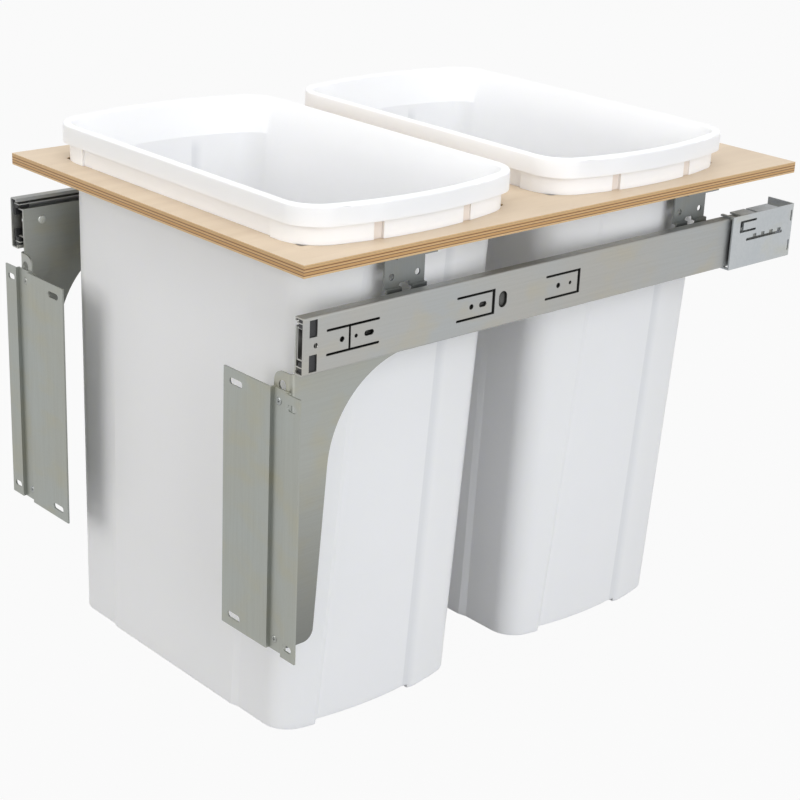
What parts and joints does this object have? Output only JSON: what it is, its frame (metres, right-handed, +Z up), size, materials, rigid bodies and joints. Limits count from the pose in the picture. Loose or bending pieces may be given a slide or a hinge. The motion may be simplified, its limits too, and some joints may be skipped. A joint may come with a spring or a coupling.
{
  "type": "pull out bin frame",
  "caption": "Top-mount pull out bin frame: plywood deck on full-extension ball slides, door brackets, and lift-out bins hanging through the deck.",
  "frame": {"origin": "midway between the two slides, on the line of their screws, at their front ends", "axes": "+X across the cabinet to the right seen from the front, +Y back into the cabinet, +Z up"},
  "size_m": [0.4154, 0.5864, 0.454],
  "materials": {
    "plywood": "clear satin birch plywood",
    "white_plastic": "smooth white moulded plastic, satin",
    "zinc_steel": "clear zinc plated sheet steel",
    "galvanised_steel": "bluish galvanised sheet steel",
    "cage_steel": "plain sheet steel",
    "ball_steel": "polished ball steel",
    "black_plastic": "black moulded plastic",
    "fastener_steel": "zinc plated fasteners"
  },
  "bodies": {
    "cabinet_side": {"right_cabinet_member": "zinc_steel", "left_cabinet_member": "zinc_steel", "right_rear_stop": "black_plastic", "left_rear_stop": "black_plastic"},
    "pull_out": {"deck": "plywood", "deck_screws": "fastener_steel", "right_front_deck_clip": "zinc_steel", "left_front_deck_clip": "zinc_steel", "right_rear_deck_clip": "zinc_steel", "left_rear_deck_clip": "zinc_steel", "right_side_bracket": "zinc_steel", "left_side_bracket": "zinc_steel", "right_drawer_member": "zinc_steel", "left_drawer_member": "zinc_steel", "right_bracket_rivets": "fastener_steel", "left_bracket_rivets": "fastener_steel", "right_clip_rivets": "fastener_steel", "left_clip_rivets": "fastener_steel", "right_door_bracket": "zinc_steel", "left_door_bracket": "zinc_steel", "door_bracket_screws": "fastener_steel", "door_bracket_nuts": "fastener_steel"},
    "front_tub": {"front_bin": "white_plastic"},
    "rear_tub": {"rear_bin": "white_plastic"},
    "right_intermediate": {"right_intermediate_member": "zinc_steel", "right_front_bumper": "black_plastic"},
    "right_outer_cage": {"right_outer_ball_cage": "cage_steel", "right_outer_balls": "ball_steel"},
    "right_inner_cage": {"right_inner_ball_cage": "cage_steel", "right_inner_balls": "ball_steel"},
    "right_socket": {"right_rear_socket": "galvanised_steel"},
    "left_intermediate": {"left_intermediate_member": "zinc_steel", "left_front_bumper": "black_plastic"},
    "left_outer_cage": {"left_outer_ball_cage": "cage_steel", "left_outer_balls": "ball_steel"},
    "left_inner_cage": {"left_inner_ball_cage": "cage_steel", "left_inner_balls": "ball_steel"},
    "left_socket": {"left_rear_socket": "galvanised_steel"}
  },
  "joints": [
    {"name": "pull_out_slide", "type": "slide", "parent": "cabinet_side", "child": "pull_out", "axis": [0, -1, 0], "range_m": [0, 0.53]},
    {"name": "front_bin_lift", "type": "slide", "parent": "pull_out", "child": "front_tub", "axis": [0, 0.0272, 0.9996], "range_m": [0, 0.47]},
    {"name": "rear_bin_lift", "type": "slide", "parent": "pull_out", "child": "rear_tub", "axis": [0, 0.0272, 0.9996], "range_m": [0, 0.47]},
    {"name": "right_intermediate_slide", "type": "slide", "parent": "cabinet_side", "child": "right_intermediate", "axis": [0, -1, 0], "range_m": [0, 0.265]},
    {"name": "right_outer_cage_slide", "type": "slide", "parent": "cabinet_side", "child": "right_outer_cage", "axis": [0, -1, 0], "range_m": [0, 0.1325]},
    {"name": "right_inner_cage_slide", "type": "slide", "parent": "cabinet_side", "child": "right_inner_cage", "axis": [0, -1, 0], "range_m": [0, 0.3975]},
    {"name": "right_socket_adjustment", "type": "slide", "parent": "cabinet_side", "child": "right_socket", "axis": [0, 1, 0], "range_m": [-0.018, 0.02]},
    {"name": "left_intermediate_slide", "type": "slide", "parent": "cabinet_side", "child": "left_intermediate", "axis": [0, -1, 0], "range_m": [0, 0.265]},
    {"name": "left_outer_cage_slide", "type": "slide", "parent": "cabinet_side", "child": "left_outer_cage", "axis": [0, -1, 0], "range_m": [0, 0.1325]},
    {"name": "left_inner_cage_slide", "type": "slide", "parent": "cabinet_side", "child": "left_inner_cage", "axis": [0, -1, 0], "range_m": [0, 0.3975]},
    {"name": "left_socket_adjustment", "type": "slide", "parent": "cabinet_side", "child": "left_socket", "axis": [0, 1, 0], "range_m": [-0.018, 0.02]}
  ],
  "couplings": [
    {"joint": "right_intermediate_slide", "follows": "pull_out_slide", "ratio": 0.5},
    {"joint": "right_outer_cage_slide", "follows": "pull_out_slide", "ratio": 0.25},
    {"joint": "right_inner_cage_slide", "follows": "pull_out_slide", "ratio": 0.75},
    {"joint": "left_intermediate_slide", "follows": "pull_out_slide", "ratio": 0.5},
    {"joint": "left_outer_cage_slide", "follows": "pull_out_slide", "ratio": 0.25},
    {"joint": "left_inner_cage_slide", "follows": "pull_out_slide", "ratio": 0.75}
  ]
}
